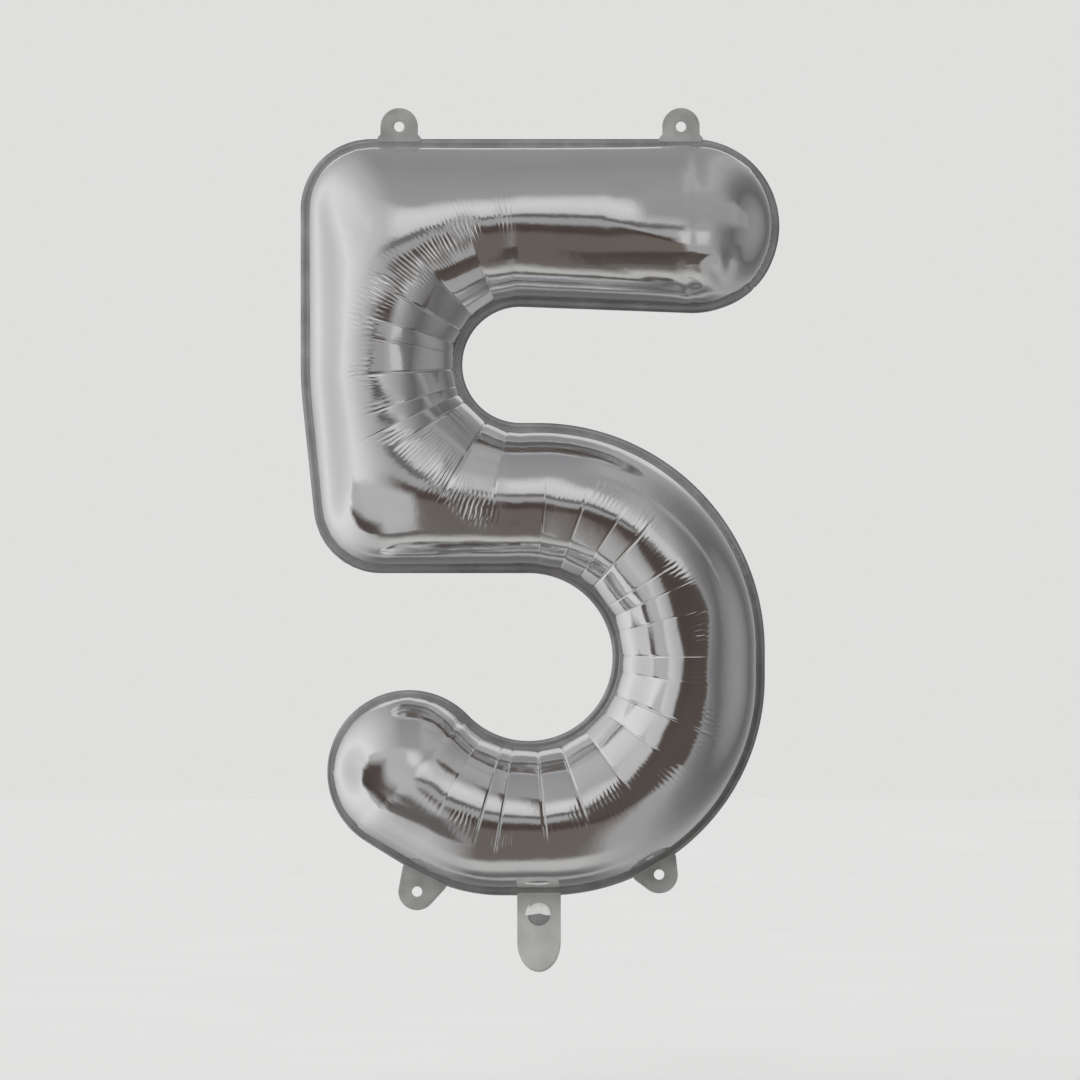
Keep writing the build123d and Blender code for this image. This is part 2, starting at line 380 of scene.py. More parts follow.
def spacing(flat, axis):
    """The width of film that belongs to each node along one axis of the grid."""
    step = size(np.diff(flat, axis=axis + 1))
    first, last = np.take(step, [0], axis), np.take(step, [-1], axis)
    padded = np.concatenate([first, step, last], axis)
    count = flat.shape[axis + 1]
    return (np.take(padded, range(count), axis) + np.take(padded, range(1, count + 1), axis)) / 2


def film_springs(flat, rounded, even):
    """(one end, other end, length, stiffness) of each family, and the nodes' masses."""
    along, across = spacing(flat, 0), spacing(flat, 1)
    mass = np.zeros(flat.shape[1:])
    springs = []
    for name, (a, b) in SPRINGS.items():
        length, round_length = (size(g[(ALL,) + b] - g[(ALL,) + a]) for g in (flat, rounded))
        length += (even[a] + even[b]) / 2 * (round_length - length)
        u, v = (along[a] + along[b]) / 2, (across[a] + across[b]) / 2
        slant = SLANT_SHARE * u * v / (u * u + v * v)
        stiffness = {
            "along": v / u,
            "across": u / v,
            "falling": slant,
            "rising": slant,
            "bend_along": BEND_SHARE * v / u,
            "bend_across": BEND_SHARE * u / v,
        }[name]
        mass[a] += stiffness
        mass[b] += stiffness
        springs.append((a, b, length.astype(np.float32), stiffness.astype(np.float32)))
    return springs, mass


def settle(film, flat, rounded, even, seam, steps):
    """Blows up the film: (xyz, ply, columns, rows).  Its two plies share their edge."""
    springs, mass = film_springs(flat, rounded, even)
    mass, edge_mass = mass.astype(np.float32), (2 * rim(mass)).astype(np.float32)
    edge_length, round_length = (size(two_apart(rim(grid))) for grid in (flat, rounded))
    edge_length = (edge_length + rim(even) * (round_length - edge_length)).astype(np.float32)
    along_seam = way_round(seam).astype(np.float32)
    seam = seam.astype(np.float32)
    side = np.array([1, -1], np.float32)[None, :, None, None]
    pressure = STRETCH / TUBE_R / 8
    place = film.astype(np.float32)
    speed = np.zeros_like(place)
    for _ in range(steps):
        force = np.zeros_like(place)
        for a, b, length, stiffness in springs:
            a, b = (Ellipsis,) + a, (Ellipsis,) + b
            pull = place[b] - place[a]
            pull *= stiffness * (1 - length / size(pull))
            force[a] += pull
            force[b] -= pull
        p = place[..., TO, TO] - place[..., FROM, FROM]
        q = place[..., TO, FROM] - place[..., FROM, TO]
        push = np.stack(
            [p[1] * q[2] - p[2] * q[1], p[2] * q[0] - p[0] * q[2], p[0] * q[1] - p[1] * q[0]]
        )
        push *= side * pressure
        for a in (FROM, TO):
            for b in (FROM, TO):
                force[..., a, b] += push
        edge, edge_force = rim(place[:, 0]), rim(force).sum(axis=1)
        off = seam - edge[::2]
        slid = (off * along_seam).sum(axis=0) * along_seam
        edge_force[::2] += edge_mass * (HOLD * (off - slid) + SLIP * slid)
        edge_force[1] -= edge_mass * LEVEL * edge[1]
        pull = two_apart(edge)
        pull *= SEAM_BEND * (1 - edge_length / size(pull))
        edge_force += pull - np.roll(pull, 2, axis=1)
        force /= mass
        edge_force /= edge_mass + 2 * SEAM_BEND
        for ply in (0, 1):
            set_rim(force[:, ply], edge_force)
        speed = (speed + PACE * force) * (1 - DAMPING)
        place += speed
    return place.astype(float)


def first_film(rounded):
    """Both plies rounded, with a small unevenness to start from."""
    film = np.stack([rounded, rounded * np.array([1, -1, 1])[:, None, None]], axis=1)
    uneven = np.random.default_rng(SEED).uniform(-UNEVEN, UNEVEN, film.shape[1:])
    film[1] += uneven * np.abs(film[1]) / ROUND_DEPTH
    return film


def finer(film):
    """The film on a grid with a new node half-way between every two."""
    for axis in (-1, -2):
        film = np.moveaxis(film, axis, 0)
        both = np.empty((2 * len(film) - 1, *film.shape[1:]))
        both[::2] = film
        both[1::2] = (film[FROM] + film[TO]) / 2
        film = np.moveaxis(both, 0, axis)
    return film


def blown_up():
    """The film of both plies, and its flat cut, the figure's own grid and the cut's bends."""
    cut = Cut()
    figure, flat, rounded, even = cut.grids()
    film = None
    for every, steps in LEVELS:
        here = (Ellipsis, slice(None, None, every), slice(None, None, every))
        film = first_film(rounded[here]) if film is None else finer(film)
        film = settle(film, flat[here], rounded[here], even[here], rim(figure[here]), steps)
    return film, {"flat": flat, "figure": figure, "bends": cut.bends}


# -------------------- creases
FACET = 0.034  # the usual distance between two creases, half-way across the stroke
FACET_SPREAD = 0.6
# Columns in a facet, closer together beside its creases
COLUMNS_IN_FACET = (0, 0.03, 0.08, 0.18, 0.31, 0.44, 0.56, 0.69, 0.82, 0.92, 0.97)
CREASE_ENDS = ((0.04, 0.12), (0.05, 0.16))  # where the creases begin and end, in each bend
CREASE_START = 0.07  # share of the way across over which a crease deepens, from the inner seam
CREASE_REACH = (0.46, 0.62)  # of a stroke of the usual width
CREASE_END = 0.12
NOTCH = (0.0002, 0.0010)  # depth of a crease's own valley
LIFT = 0.0012  # how far the creases differ in height, half-way across
LIFT_DOWN = 0.7  # the share of that by which they may lie below the film
TIP = 0.006  # and how far they tip, per whole way across
TIP_FROM = 0.35  # about this share of the way across
PILLOW = 0.00015  # how much a facet swells between its creases
FRINGE = 0.02  # the fine wrinkles at the creases' outer ends lie this far beyond them
FRINGE_WIDTH = 0.05
FRINGE_SHARES = (1, 0.4)  # how strong they are, in each bend
# Folds pressed into the front ply: (depth, reach to each side, a corner of the figure's box, and
# the line's points by their distances inward from it), where a negative depth is a ridge
FOLDS = (
    (0.0025, 0.030, "top left", (0.024, 0.043), (0.063, 0.092), (0.080, 0.097)),
    (0.0009, 0.016, "top left", (0.105, 0.018), (0.112, 0.070)),
    (0.0009, 0.016, "top left", (0.155, 0.046), (0.220, 0.018)),
    (0.0009, 0.014, "top right", (0.170, 0.046), (0.118, 0.040)),
    (0.0010, 0.016, "top right", (0.105, 0.020), (0.070, 0.052)),
    (0.0008, 0.014, "top right", (0.095, 0.062), (0.045, 0.058)),
    (
        -0.0042, 0.040, "top right",
        (0.170, 0.082), (0.104, 0.103), (0.046, 0.118), (0.012, 0.124),
    ),
    (0.0022, 0.009, "top right", (0.046, 0.104), (0.052, 0.138)),
    (0.0018, 0.010, "top right", (0.072, 0.118), (0.050, 0.148)),
    (0.0014, 0.012, "top right", (0.096, 0.116), (0.086, 0.156)),
    (0.0013, 0.020, "low left", (0.028, 0.345), (0.075, 0.372), (0.110, 0.368)),
    (0.0012, 0.016, "low left", (0.060, 0.115), (0.125, 0.080)),
    (0.0008, 0.016, "low left", (0.045, 0.140), (0.078, 0.118)),
)
CORNERS = {  # (x, the way inward along it, z, the way inward along it)
    "top left": (LEFT, 1, TOP, -1),
    "top right": (RIGHT, -1, TOP, -1),
    "low left": (LEFT, 1, BOTTOM, 1),
}


def at_stations(grid, stations):
    """The grid's values at fractional columns, on smooth curves through its own."""
    last = grid.shape[-2] - 1
    first = np.clip(np.floor(stations).astype(int), 0, last - 1)
    t = (stations - first)[:, None]
    p, q, r, s = (np.take(grid, np.clip(first + k, 0, last), axis=-2) for k in (-1, 0, 1, 2))
    return q + t / 2 * (r - p + t * (2 * p - 5 * q + 4 * r - s + t * (3 * (q - r) + s - p)))


def crease_plan(last, bends, rng):
    """New columns for a ply: the station of each, those of the creases before and after it, the
    share of the way between them, how strongly it is creased, which edge is the inner one, and
    four random marks of both creases."""

    def plain(first, end, inner):
        return [(k, k, k, 0, 0, inner) + (0,) * 8 for k in range(first, end)]

    plan = []
    place = 0
    for (start, columns, inner, *_), (fade_in, fade_out) in zip(bends, CREASE_ENDS):
        start += END_COLUMNS
        plan += plain(place, start, inner)
        turn = (pi, pi / 2 + 2 * pi - FREE_END_TURN)[inner]
        middle_r = (BAY_R, COUNTER_R)[inner] + SEAL + ROUND_WIDTH / 2
        widths = rng.uniform(1 - FACET_SPREAD, 1 + FACET_SPREAD, round(turn * middle_r / FACET))
        edges = start + columns * np.concatenate([[0], np.cumsum(widths)]) / widths.sum()
        marks = rng.uniform(0, 1, (len(edges), 4))
        for k, (a, b) in enumerate(zip(edges, edges[1:])):
            for t in COLUMNS_IN_FACET:
                station = a + t * (b - a)
                way = (station - start) / columns
                creased = smooth(way / fade_in) * smooth((1 - way) / fade_out)
                plan.append((station, a, b, t, creased, inner, *marks[k], *marks[k + 1]))
        place = start + columns
    return np.array(plan + plain(place, last + 1, inner)).T


def normals(place):
    """The normal of a ply at each node, towards its front for the front ply."""
    along = np.gradient(place, axis=1)
    across = np.gradient(place, axis=2)
    normal = np.cross(along, across, axis=0)
    return normal / np.maximum(size(normal), 1e-12)


def fold(place, outward, depth, reach, line):
    """Presses a fold into the film along a line of (x, z) points, or raises a ridge where its
    depth is negative.  It fades out towards both ends of the line."""
    line = np.array(line)
    lengths = np.hypot(*np.diff(line, axis=0).T)
    nearest = np.full(place.shape[1:], np.inf)
    along = np.zeros(place.shape[1:])
    spot = place[[0, 2]]
    for k, (a, b) in enumerate(zip(line, line[1:])):
        way = b - a
        share = np.einsum("i,ijk->jk", way, spot - a[:, None, None]) / (way @ way)
        share = np.clip(share, 0, 1)
        away = size(spot - a[:, None, None] - share * way[:, None, None])
        along = np.where(away < nearest, lengths[:k].sum() + share * lengths[k], along)
        nearest = np.minimum(nearest, away)
    along /= lengths.sum()
    place -= outward * depth * 4 * along * (1 - along) * np.clip(1 - nearest / reach, 0, 1)


def creased(film, cut, ply):
    """One ply on its new columns, with its creases and folds, and its share of fine wrinkles."""
    rng = np.random.default_rng(SEED + ply)
    plan = crease_plan(film.shape[2] - 1, cut["bends"], rng)
    t, strength, inner = plan[3:6, :, None]
    side = np.linspace(0, 1, film.shape[3])[None]
    from_inner = np.where(inner == 0, side, 1 - side)
    place = at_stations(film[:, ply], plan[0])
    outward = normals(place)
    outward *= (-1, 1)[ply] * np.sign(outward[1].sum())
    marks = np.stack([plan[6:10], plan[10:14]])
    reach = CREASE_REACH[0] + (CREASE_REACH[1] - CREASE_REACH[0]) * marks[:, 0, :, None]
    lift = LIFT * (marks[:, 1, :, None] - LIFT_DOWN)
    lift = lift + TIP * (marks[:, 2, :, None] - 0.5) * (from_inner - TIP_FROM)
    width = size(at_stations(cut["figure"][:, :, [0, -1]], plan[0]) @ np.array([1, -1]))
    reach = reach * ROUND_WIDTH / np.maximum(width, ROUND_WIDTH)[:, None]
    reach, lift = ((1 - t) * pair[0] + t * pair[1] for pair in (reach, lift))
    notch = NOTCH[0] + (NOTCH[1] - NOTCH[0]) * plan[9][:, None] ** 2
    lift = lift + PILLOW * 4 * t * (1 - t) - notch * (t == 0)
    weight = strength * smooth(from_inner / CREASE_START)
    weight = weight * (1 - smooth((from_inner - reach) / CREASE_END))
    edges = [at_stations(film[:, ply], plan[k]) for k in (1, 2)]
    place += weight * ((1 - t) * edges[0] + t * edges[1] - place + lift * outward)
    if ply == 0:
        for depth, width, corner, *points in FOLDS:
            x, right, z, up = CORNERS[corner]
            line = [(x + right * a, z + up * b) for a, b in points]
            fold(place, outward, depth, width, line)
    fringe = strength * np.exp(-(((from_inner - reach - FRINGE) / FRINGE_WIDTH) ** 2))
    fringe *= np.where(inner == 0, *FRINGE_SHARES)
    return place, plan[0], fringe


# -------------------- materials
def node(tree, kind, values=None, **settings):
    """Adds a shader node.  values gives its inputs: a plain value, or another node's output."""
    made = tree.nodes.new("ShaderNode" + kind)
    for key, value in settings.items():
        setattr(made, key, value)
    for key, value in (values or {}).items():
        if isinstance(value, bpy.types.NodeSocket):
            tree.links.new(value, made.inputs[key])
        else:
            made.inputs[key].default_value = value
    return made


def maths(tree, operation, first, second=0.0):
    return node(tree, "Math", {0: first, 1: second}, operation=operation).outputs[0]


def between(tree, factor, low, high):
    """Turns a factor from 0 to 1 into a value from low to high."""
    mapped = node(tree, "MapRange", {"Value": factor, "To Min": low, "To Max": high})
    return mapped.outputs["Result"]


def colour_ramp(tree, factor, stops):
    """A ramp through (position from 0 to 1, colour with alpha)."""
    ramp = node(tree, "ValToRGB", {"Fac": factor})
    elements = ramp.color_ramp.elements
    elements.remove(elements[1])
    for k, (position, colour) in enumerate(stops):
        stop = elements[0] if k == 0 else elements.new(position)
        stop.position = position
        stop.color = colour
    return ramp


def noise(tree, vector, scale, detail):
    values = {"Vector": vector, "Scale": scale, "Detail": detail}
    return node(tree, "TexNoise", values).outputs["Fac"]


def new_material(name, colour, metallic, roughness):
    """A new material, with its node tree, its shader and the position on the object."""
    material = bpy.data.materials.new(name)
    material.use_nodes = True
    tree = material.node_tree
    shader = tree.nodes["Principled BSDF"]
    shader.inputs["Base Color"].default_value = (*colour, 1)
    shader.inputs["Metallic"].default_value = metallic
    shader.inputs["Roughness"].default_value = roughness
    return material, tree, shader, node(tree, "TexCoord").outputs["Object"]


def feed(tree, shader, **outputs):
    """Links nodes' outputs to a shader's inputs, such as base_color."""
    for key, output in outputs.items():
        tree.links.new(output, shader.inputs[key.replace("_", " ").title()])


def tinted(tree, factor, dark, light):
    """A colour that wanders between two greys."""
    ramp = colour_ramp(tree, factor, ((0.3, (*dark, 1)), (0.7, (*light, 1))))
    return ramp.outputs["Color"]


def bumped(tree, shader, layers):
    """Adds bump layers of (height, distance, strength) to a shader."""
    normal = None
    for height, distance, strength in layers:
        values = {"Height": height, "Distance": distance, "Strength": strength}
        if normal:
            values["Normal"] = normal
        normal = node(tree, "Bump", values).outputs["Normal"]
    feed(tree, shader, normal=normal)


def vary(tree, shader, place, **inputs):
    """Makes shader inputs wander over the object, each by (noise scale, detail, low, high)."""
    for key, (scale, detail, low, high) in inputs.items():
        mix = tinted if isinstance(low, tuple) else between
        feed(tree, shader, **{key: mix(tree, noise(tree, place, scale, detail), low, high)})


def film_material(name, colour, metallic, dull, bumps, **inputs):
    """A material that wanders over the object.  bumps are (noise scale, detail, distance,
    strength), and inputs are as in vary."""
    material, tree, shader, place = new_material(name, colour, metallic, dull)
    layers = [(noise(tree, place, scale, detail), *rest) for scale, detail, *rest in bumps]
    bumped(tree, shader, layers)
    vary(tree, shader, place, **inputs)
    return material


COMB_SCALE = 66  # ridges 4.8 mm apart
COMB_STRENGTH = (-2.6, 3.4)


def silver_film():
    """Mirror-bright metallised film, with a comb of fine wrinkles where its creases end."""
    material, tree, shader, place = new_material("silver_film", (0.86, 0.86, 0.87), 1, 0.1)
    cut = node(tree, "UVMap", uv_map="cut").outputs["UV"]
    fringe = node(tree, "Attribute", attribute_name="fringe").outputs["Fac"]
    waves = {"Vector": cut, "Scale": COMB_SCALE, "Distortion": 5, "Detail": 2, "Detail Scale": 0.6}
    comb = node(tree, "TexWave", waves).outputs["Fac"]
    # The comb comes and goes along the stroke, and in places its ridges turn to grooves
    long_ways = node(tree, "Mapping", {"Vector": cut, "Scale": (1, 0.05, 1)}).outputs["Vector"]
    patches = between(tree, noise(tree, long_ways, 26, 1), *COMB_STRENGTH)
    patches = maths(tree, "MULTIPLY", patches, fringe)
    comb = maths(tree, "MULTIPLY", comb, patches)
    dents = noise(tree, place, 14, 2)
    crinkle = noise(tree, place, 90, 3)
    bumped(tree, shader, ((comb, 0.0005, 1), (dents, 0.004, 0.12), (crinkle, 0.0006, 0.2)))
    tones = (8, 2, (0.82, 0.82, 0.83), (0.89, 0.89, 0.89))
    vary(tree, shader, place, base_color=tones, roughness=(25, 4, 0.07, 0.15))
    return material


def sealed_film():
    """The heat-sealed border: both plies pressed flat, duller and finely ribbed by the jaws."""
    bumps = ((240, 2, 0.0003, 0.35), (60, 2, 0.001, 0.35))
    tones = (35, 3, (0.33, 0.33, 0.335), (0.48, 0.48, 0.48))
    grey, dull = (0.42,) * 3, (70, 3, 0.26, 0.42)
    return film_material("sealed_film", grey, 0.85, 0.34, bumps, base_color=tones, roughness=dull)


def satin_film(name, dark, light, metallic, dull=(0.36, 0.52), creases=0.3):
    """Flat sealed film of the tabs and the tail: satin, with soft handling creases."""
    bumps = ((70, 3, 0.004 * creases, creases), (420, 2, 0.0002, 0.3))
    tones, dull = (45, 3, dark, light), (90, 2, *dull)
    return film_material(name, light, metallic, 0.4, bumps, base_color=tones, roughness=dull)


def clear_film():
    """Thin polyethylene of the valve: clear, with a faint milkiness."""
    bumps, milk = ((150, 3, 0.0005, 0.3),), (60, 2, 0.08, 0.2)
    return film_material("valve_film", (0.85, 0.86, 0.87), 0, 0.2, bumps, alpha=milk)


def milky_film():
    """The valve's film where it is doubled over and creased: pale and hardly see-through."""
    bumps, milk = ((220, 3, 0.0008, 0.5),), (90, 2, 0.9, 1)
    tones = (160, 3, (0.78, 0.78, 0.77), (0.92, 0.92, 0.91))
    grey = (0.8,) * 3
    return film_material("valve_mouth_film", grey, 0, 0.35, bumps, base_color=tones, alpha=milk)


def paper():
    """The pale floor."""
    material, tree, shader, place = new_material("floor_paper", (0.84, 0.84, 0.83), 0, 0.8)
    vary(tree, shader, place, base_color=(3, 3, (0.83, 0.83, 0.82), (0.85, 0.85, 0.84)))
    return material


def card_material(name, dark, light, soft):
    """A card that glows with its own light and that the film mirrors, fading out at its sides and at its top and
    bottom within shares of its size."""
    material, tree, shader, place = new_material(name, (0, 0, 0), 0, 1)
    vary(tree, shader, place, emission_color=(2.5, 3, dark, light))
    shader.inputs["Emission Strength"].default_value = 1
    spot = node(tree, "SeparateXYZ", {0: node(tree, "TexCoord").outputs["Generated"]}).outputs
    cover = 1.0
    for axis, share in zip("XZ", soft):
        other = maths(tree, "SUBTRACT", 1.0, spot[axis])
        inside = maths(tree, "MINIMUM", spot[axis], other)
        cover = maths(tree, "MINIMUM", cover, maths(tree, "DIVIDE", inside, share))
    feed(tree, shader, alpha=cover)
    return material


# -------------------- meshes
def new_object(name, data):
    made = bpy.data.objects.new(name, data)
    bpy.context.scene.collection.objects.link(made)
    return made


def mesh_piece(name, vertices, faces, materials):
    """A smooth-shaded mesh object."""
    mesh = bpy.data.meshes.new(name)
    mesh.from_pydata([tuple(v) for v in vertices], [], [tuple(int(i) for i in f) for f in faces])
    mesh.update()
    mesh.shade_smooth()
    for material in materials:
        mesh.materials.append(material)
    return new_object(name, mesh)


def thicken(piece, thickness):
    """Gives a film its thickness, on the inside, and writes that into its mesh.  A second
    material, where it has one, goes on the inside."""
    shell = piece.modifiers.new("film", "SOLIDIFY")
    shell.thickness = thickness
    shell.offset = -1
    shell.material_offset = len(piece.data.materials) - 1
    bpy.context.view_layer.update()
    graph = bpy.context.evaluated_depsgraph_get()
    thick = bpy.data.meshes.new_from_object(piece.evaluated_get(graph))
    piece.modifiers.clear()
    thin = piece.data
    piece.data = thick
    bpy.data.meshes.remove(thin)
    thick.name = piece.name


FOIL_THICKNESS = 0.0003
PLY_GAP = 0.00035  # from the plane of the seal to a big ply's outer face
BORDER_RINGS = (0.0008, 0.0035, SEAL)


def outward_of(seam):
    """The direction out of the figure at each point round the seam, (x, z)."""
    along = way_round(seam)
    turning = np.sum(seam[0] * np.roll(seam[1], -1) - np.roll(seam[0], -1) * seam[1])
    return np.array([along[1], -along[0]]) * np.sign(turning)


def foil_faces(columns, rows):
    """Quads of a ply's grid and of its border rings, as (vertex numbers, how many in the grid)."""
    index = np.arange(columns * rows).reshape(columns, rows)
    corners = [index[FROM, FROM], index[FROM, TO], index[TO, TO], index[TO, FROM]]
    quads = np.stack(corners, axis=-1).reshape(-1, 4)
    edge = rim(index)
    rings = [edge]
    for k in range(len(BORDER_RINGS)):
        rings.append(columns * rows + k * len(edge) + np.arange(len(edge)))
    borders = [
        np.stack([a, np.roll(a, -1), np.roll(b, -1), b], axis=1) for a, b in zip(rings, rings[1:])
    ]
    return np.vstack([quads, *borders]), len(quads), edge


def foil_piece(name, ply, film, cut, materials):
    """One big ply with its sealed border: ply 0 is the front one."""
    side = (-1, 1)[ply]
    place, stations, fringe = creased(film, cut, ply)
    flat, figure = (at_stations(cut[key], stations) for key in ("flat", "figure"))
    columns, rows = place.shape[1:]
    faces, in_grid, edge = foil_faces(columns, rows)
    grid = np.moveaxis(place, 0, -1).reshape(-1, 3)
    outward = np.insert(outward_of(rim(figure)), 1, 0, axis=0).T
    vertices = np.vstack([grid, *[grid[edge] + outward * reach for reach in BORDER_RINGS]])
    vertices[:, 1] += side * PLY_GAP
    piece = mesh_piece(name, vertices, faces if side == -1 else faces[:, ::-1], materials)
    mesh = piece.data
    in_border = np.zeros(len(faces), np.int32)
    in_border[in_grid:] = 1
    mesh.polygons.foreach_set("material_index", in_border)
    # The cut's own coordinates: metres along the stroke and across it
    steps = size(np.diff(flat[:, :, rows // 2], axis=1))
    along = np.concatenate([[0], np.cumsum(steps)])
    u, v = np.meshgrid(along, np.linspace(0, ROUND_WIDTH * pi / 2, rows), indexing="ij")
    u, v, fringe = (
        np.concatenate([a.ravel(), *[rim(a)] * len(BORDER_RINGS)]) for a in (u, v, fringe)
    )
    corner = np.empty(len(mesh.loops), np.int32)
    mesh.loops.foreach_get("vertex_index", corner)
    layer = mesh.uv_layers.new(name="cut")
    layer.data.foreach_set("uv", np.stack([u, v], axis=1)[corner].astype(np.float32).ravel())
    attribute = mesh.attributes.new("fringe", "FLOAT", "POINT")
    attribute.data.foreach_set("value", fringe.astype(np.float32))
    thicken(piece, FOIL_THICKNESS)
    return piece


LOBE_TURNS = 96
LOBE_RINGS = 14
NO_HOLE = 0.08  # without a hole, the innermost ring lies at this share of the way


def flat_film(name, side, line, edge, centre, hole, depth, materials, thickness):
    """A film between its edge and its hole, both lines round a centre: (x, y) points along its
    bend line and out of it.  depth gives where those points lie in front of the plane of the
    seal (side -1) or behind it (1)."""
    rays = [unit(2 * pi * k / LOBE_TURNS) for k in range(LOBE_TURNS)]
    centre = np.array(centre)
    outer = np.array([crossing(centre, ray, edge, 0) for ray in rays])
    inner = NO_HOLE * outer
    if hole is not None:
        inner = np.array([crossing(centre, ray, hole, 0) for ray in rays])
    share = np.linspace(0, 1, LOBE_RINGS + 1)[:, None]
    reach = inner * (1 - share) + outer * share
    points = (centre + reach[..., None] * np.array(rays)).reshape(-1, 2)
    turn = [(k, (k + 1) % LOBE_TURNS) for k in range(LOBE_TURNS)]
    faces = []
    for start in range(0, LOBE_RINGS * LOBE_TURNS, LOBE_TURNS):
        end = start + LOBE_TURNS
        faces += [(start + a, end + a, end + b, start + b) for a, b in turn]
    if hole is None:
        points = np.vstack([points, centre])
        faces += [(len(points) - 1, a, b) for a, b in turn]
    x, y = points.T
    point, along, out = line
    flat = point + x[:, None] * along + y[:, None] * out
    places = np.stack([flat[:, 0], depth(x, y, side), flat[:, 1]], axis=1)
    piece = mesh_piece(name, places, faces, materials)
    if side * sum(p.normal.y * p.area for p in piece.data.polygons) < 0:
        piece.data.flip_normals()
    thicken(piece, thickness)
    return piece


def round_line(centre, radius, start=0, turn=2 * pi, count=48):
    """Points along part of a circle."""
    angles = start + np.linspace(0, turn, count, endpoint=abs(turn) < 2 * pi)
    x, y = centre[0] + radius * np.cos(angles), centre[1] + radius * np.sin(angles)
    return np.stack([x, y], axis=1)


# -------------------- the balloon
def balloon():
    film, cut = blown_up()
    materials = (silver_film(), sealed_film())
    for ply, name in enumerate(("front_foil", "back_foil")):
        piece = foil_piece(f"{name}_film", ply, film, cut, materials)
        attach(piece, "balloon")
        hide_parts(name)


# -------------------- tabs and tail
PLY = 0.00045  # thickness of a tab's or the tail's ply
OFF_PLANE = 0.0006  # from the plane of the seal to its outer face
UNDER_BORDER = 0.004  # a tab's film runs on this far into the border
TAB_HALF_ROOT = {"top": 0.0215, "low": 0.023}
TAB_FLARE = 0.003  # the height over which a top tab widens to its root
TAB_START = 0.002  # a tab curls and twists from here on
LOBE_R = 0.018
TAB_CURLS = {  # how each tab lies: (curl away from its plane, twist across it), per metre
    "top_left_tab": (1.6, 0.05),
    "top_right_tab": (-1.2, -0.04),
    "low_left_tab": (1.4, -0.05),
    "low_right_tab": (-1.8, 0.04),
}
TAIL_HALF_WIDTH = 0.021
TAIL_TIP = 0.029  # its end narrows over this length
TAIL_SEAL = 0.004  # the tail's plies are sealed this far in from its sides
TAIL_PUFF = 0.0016
TAIL_PUFF_REACH = (0.017, 0.012)  # inward from its sides, and down from its root
TAIL_WAVE = 0.0002  # small, so that the plies stay outside the valve's flat films
TAIL_WAVES = (170, 60)  # radians per metre across it and along it
TAIL_FLICK = 2.5  # how much its end bends back past the valve's films, per metre
FLAP_FILM = 0.0002
FLAP_LAP = 0.002  # the flap reaches this far under the inlet's rim
FLAP_TILT = 0.12
FLAP_DEPTH = 0.55  # as a share of the tail's puff
FLAP_WAVE, FLAP_WAVES = 0.0004, 330
INLET_R = 0.011

joints = {joint["name"]: joint for joint in frame["joints"]}
holes = {mount["name"]: mount for mount in frame["record"]["mounts"] if mount["kind"] == "bore"}


def bend_line(joint, body_box):
    """Where a film bends: a point of the line, the way along it and the way out of the figure."""
    point = np.array(joints[joint]["pos_m"])[[0, 2]]
    along = np.array(joints[joint]["axis"])[[0, 2]]
    out = np.array([-along[1], along[0]], float)
    low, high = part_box(body_box)
    middle = np.array([low.x + high.x, low.z + high.z]) / 2
    out *= np.sign((middle - point) @ out)
    return point, np.array([out[1], -out[0]]), out


def centre_of(mount, line):
    """The centre of a hole in its film's own plane."""
    point, along, out = line
    from_line = np.array(mount["pos_m"])[[0, 2]] - point
    return from_line @ along, from_line @ out


def touching(corner, centre, radius, side):
    """The angle at which a line from a corner touches a circle, on its right (1) or left (-1)."""
    x, y = corner[0] - centre[0], corner[1] - centre[1]
    to_corner = atan2(y, x) % (2 * pi) - (2 * pi if side == 1 else 0)
    return to_corner + side * acos(radius / hypot(x, y))


def ply_piece(ply, line, edge, centre, hole, depth, materials):
    """One ply of a tab or of the tail, which bends where it leaves the border."""
    side = -1 if "front" in ply else 1
    piece = flat_film(f"{ply}_film", side, line, edge, centre, hole, depth, materials, PLY)
    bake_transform(piece)
    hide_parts(ply)


def tabs():
    material = satin_film("tab_film", (0.29, 0.29, 0.285), (0.43, 0.43, 0.42), 0.35)
    for body, (curl, twist) in TAB_CURLS.items():
        line = bend_line(f"{body}_bend", f"{body}_front_ply")
        mount = holes[body.replace("_tab", "_hanging_hole")]
        centre = centre_of(mount, line)
        root = TAB_HALF_ROOT[body[:3]]
        edge = [(root, -UNDER_BORDER), (root, 0)]
        if body.startswith("top"):
            right, left = 0, pi
            edge.append((LOBE_R, TAB_FLARE))
        else:
            right, left = (touching((side * root, 0), centre, LOBE_R, side) for side in (1, -1))
        lobe = round_line(centre, LOBE_R, right, left - right, 32)
        edge = np.vstack([edge, lobe, [(-x, y) for x, y in reversed(edge)]])
        hole = round_line(centre, mount["dims"]["r_mm"] / 1000)

        def depth(x, y, side):
            away = np.clip(y - TAB_START, 0, None)
            return side * OFF_PLANE + curl * away**2 + twist * x * away / LOBE_R

        for side in ("front", "back"):
            ply = f"{body}_{side}_ply"
            ply_piece(ply, line, edge, centre, hole, depth, (material,))


